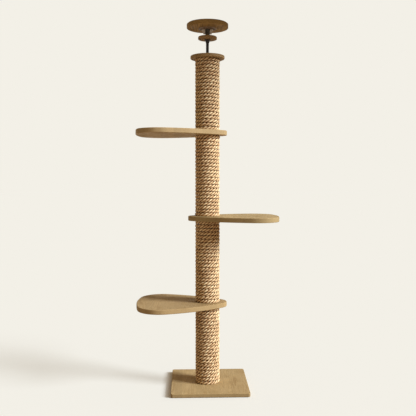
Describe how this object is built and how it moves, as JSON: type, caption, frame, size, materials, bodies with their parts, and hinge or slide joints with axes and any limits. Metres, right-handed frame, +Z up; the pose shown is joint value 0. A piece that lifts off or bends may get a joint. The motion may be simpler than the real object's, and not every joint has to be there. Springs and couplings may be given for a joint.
{
  "type": "floor-to-ceiling cat tree",
  "caption": "Tall rope-wound post with egg-shaped wooden shelves on alternate sides, a square base, and a screw-out disc that wedges it against the ceiling.",
  "frame": {"origin": "on the floor, on the axis of the post; the base board's middle is 12.5 mm along +X and 8.5 mm along +Y from it", "axes": "+Z up along the post; -X the way the lower and upper shelves point, +X the way the middle shelf points; the base's sides lie along X and Y; the picture looks along +Y"},
  "size_m": [0.929, 0.533, 2.3657],
  "materials": {
    "oak": "satin oiled solid wood, staves glued edge to edge",
    "dark_oak": "satin oiled solid wood, a shade darker",
    "sisal": "twisted natural rope, matt and fibrous",
    "card_tube": "wound paper tube, matt",
    "pine": "plain sawn wood",
    "rubber": "matt thin sheet",
    "dark_steel": "blackened steel, slightly oily",
    "zinc_steel": "zinc-plated steel",
    "brass": "plain turned brass"
  },
  "bodies": {
    "tree": {"base_plate": "oak", "base_mat": "rubber", "base_washer": "zinc_steel", "base_bolt": "zinc_steel", "post_tube_1": "card_tube", "post_tube_2": "card_tube", "post_tube_3": "card_tube", "post_tube_4": "card_tube", "lower_plug_1": "pine", "lower_plug_2": "pine", "lower_plug_3": "pine", "lower_plug_4": "pine", "upper_plug_1": "pine", "upper_plug_2": "pine", "upper_plug_3": "pine", "upper_plug_4": "pine", "rope_winding_1": "sisal", "rope_winding_2": "sisal", "rope_winding_3": "sisal", "rope_winding_4": "sisal", "rope_end_screws": "zinc_steel", "insert_nuts": "zinc_steel", "shelf_studs": "zinc_steel", "lower_shelf": "oak", "middle_shelf": "oak", "upper_shelf": "oak", "top_collar": "dark_oak", "collar_screws": "zinc_steel", "spindle_nut": "zinc_steel", "nut_screws": "zinc_steel"},
    "ceiling_head": {"ceiling_disc": "dark_oak", "ceiling_pad": "rubber", "ceiling_flange": "dark_steel", "flange_screws": "zinc_steel", "retaining_screw": "dark_steel"},
    "spindle_set": {"spindle": "dark_steel", "flared_nut": "dark_steel", "hand_wheel": "dark_oak", "lock_nut": "dark_steel", "thrust_washer": "brass"}
  },
  "joints": [
    {"name": "head_lift", "type": "slide", "parent": "tree", "child": "ceiling_head", "axis": [0, 0, 1], "range_m": [-0.08, 0.06]},
    {"name": "spindle_turn", "type": "hinge", "parent": "ceiling_head", "child": "spindle_set", "pos_m": [0, 0, 2.28], "axis": [0, 0, 1], "range_deg": [-7200, 5400]}
  ],
  "couplings": [
    {"joint": "spindle_turn", "follows": "head_lift", "rad_per_m": 1570.8}
  ]
}
